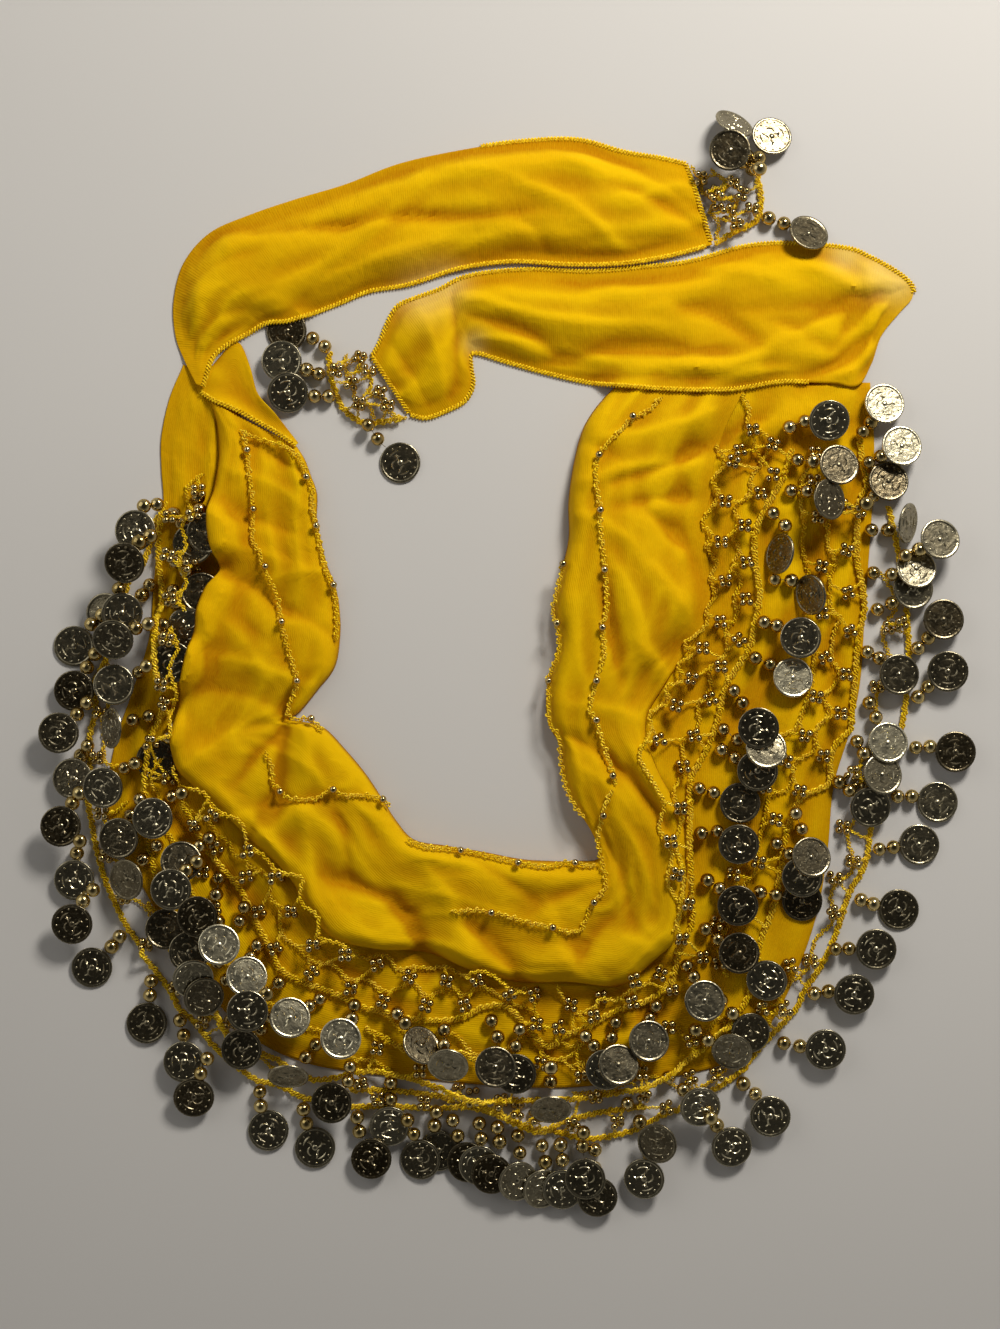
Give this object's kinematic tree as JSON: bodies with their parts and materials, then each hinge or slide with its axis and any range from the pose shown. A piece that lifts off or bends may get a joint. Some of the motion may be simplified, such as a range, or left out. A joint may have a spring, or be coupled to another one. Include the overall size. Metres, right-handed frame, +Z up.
{
  "type": "belly dance hip scarf",
  "caption": "Chiffon hip scarf laid out in a ring, its ties folded back, with rows of beaded gold net hung with coin drops.",
  "frame": {"origin": "centre of the laid-out scarf's box, on the surface it lies on", "axes": "+Z up off the surface, +Y from the bottom of the body towards the ties, +X to the right in the view from above"},
  "size_m": [0.4598, 0.5438, 0.0225],
  "materials": {
    "yellow_chiffon": "sheer woven chiffon, fine ribs, soft sheen",
    "gold_cord": "twisted metallic gold and yellow yarn",
    "coin_metal": "stamped antique brass coins and mirror-like dark beads"
  },
  "bodies": {
    "root": {"body_bottom_top": "yellow_chiffon", "body_bottom_under": "yellow_chiffon", "body_left_top": "yellow_chiffon", "body_left_under": "yellow_chiffon", "body_right_top": "yellow_chiffon", "body_right_under": "yellow_chiffon", "folds_bottom": "yellow_chiffon", "folds_left": "yellow_chiffon", "folds_right": "yellow_chiffon", "folds_tie_a": "yellow_chiffon", "folds_tie_b": "yellow_chiffon", "folds_tie_b_end": "yellow_chiffon", "fringe_1_bottom": "coin_metal", "fringe_1_right": "coin_metal", "fringe_2_bottom": "coin_metal", "fringe_2_left": "coin_metal", "fringe_2_right": "coin_metal", "fringe_3_bottom": "coin_metal", "fringe_3_left": "coin_metal", "fringe_3_right": "coin_metal", "net_1_bottom": "gold_cord", "net_1_right": "gold_cord", "net_2_bottom": "gold_cord", "net_2_left": "gold_cord", "net_2_right": "gold_cord", "net_3_bottom": "gold_cord", "net_3_left": "gold_cord", "net_3_right": "gold_cord", "net_tie_a": "gold_cord", "net_tie_b": "gold_cord", "tie_a": "yellow_chiffon", "tie_a_drop_1": "coin_metal", "tie_a_drop_2": "coin_metal", "tie_a_drop_3": "coin_metal", "tie_a_turn": "yellow_chiffon", "tie_b": "yellow_chiffon", "tie_b_drop_1": "coin_metal", "tie_b_drop_2": "coin_metal", "tie_b_drop_3": "coin_metal", "tie_b_drop_4": "coin_metal", "tie_b_end": "yellow_chiffon", "tie_b_turn": "yellow_chiffon", "waist_braid_1_bottom": "gold_cord", "waist_braid_1_left": "gold_cord", "waist_braid_1_right": "gold_cord", "waist_braid_2_bottom": "gold_cord", "waist_braid_2_corner": "gold_cord", "waist_braid_2_left": "gold_cord", "waist_braid_2_right": "gold_cord"}
  },
  "joints": []
}
